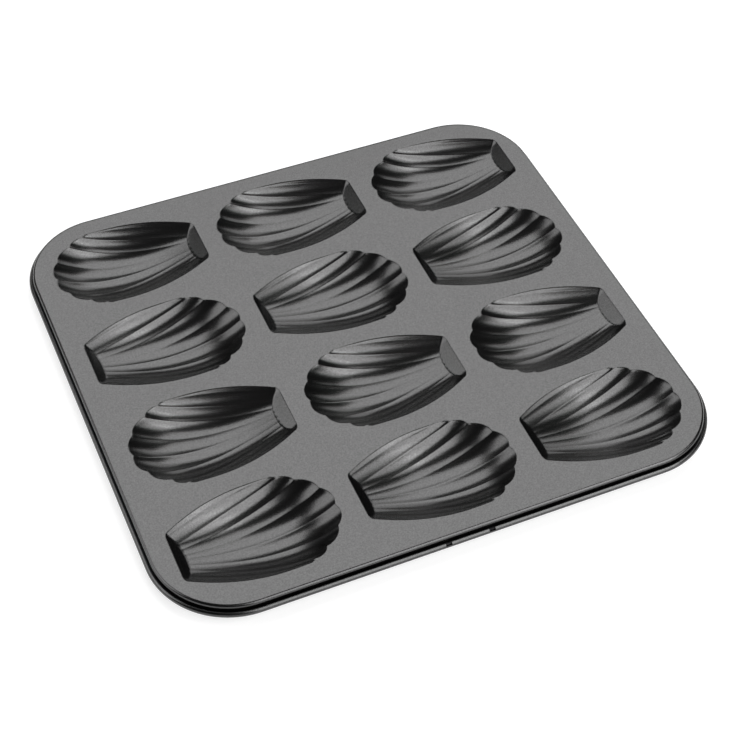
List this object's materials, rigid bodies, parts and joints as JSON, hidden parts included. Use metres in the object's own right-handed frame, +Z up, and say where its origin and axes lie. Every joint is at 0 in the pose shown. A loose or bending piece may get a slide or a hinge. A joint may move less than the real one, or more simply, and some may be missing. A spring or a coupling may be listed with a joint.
{
  "type": "madeleine pan",
  "caption": "Pressed steel baking tray with fluted shell-shaped cups in a staggered grid and a rolled, wire-stiffened rim.",
  "frame": {"origin": "under the middle of the pan, on the surface that the crowns of the cups stand on", "axes": "+X along the long side and the cups, +Y towards the back, +Z up out of the cups"},
  "size_m": [0.2724, 0.2544, 0.0125],
  "materials": {
    "coated_steel": "satin dark grey non-stick coating",
    "rim_wire": "drawn steel wire"
  },
  "bodies": {
    "root": {"pressed_sheet": "coated_steel", "rim_wire_left": "rim_wire", "rim_wire_right": "rim_wire"}
  },
  "joints": []
}
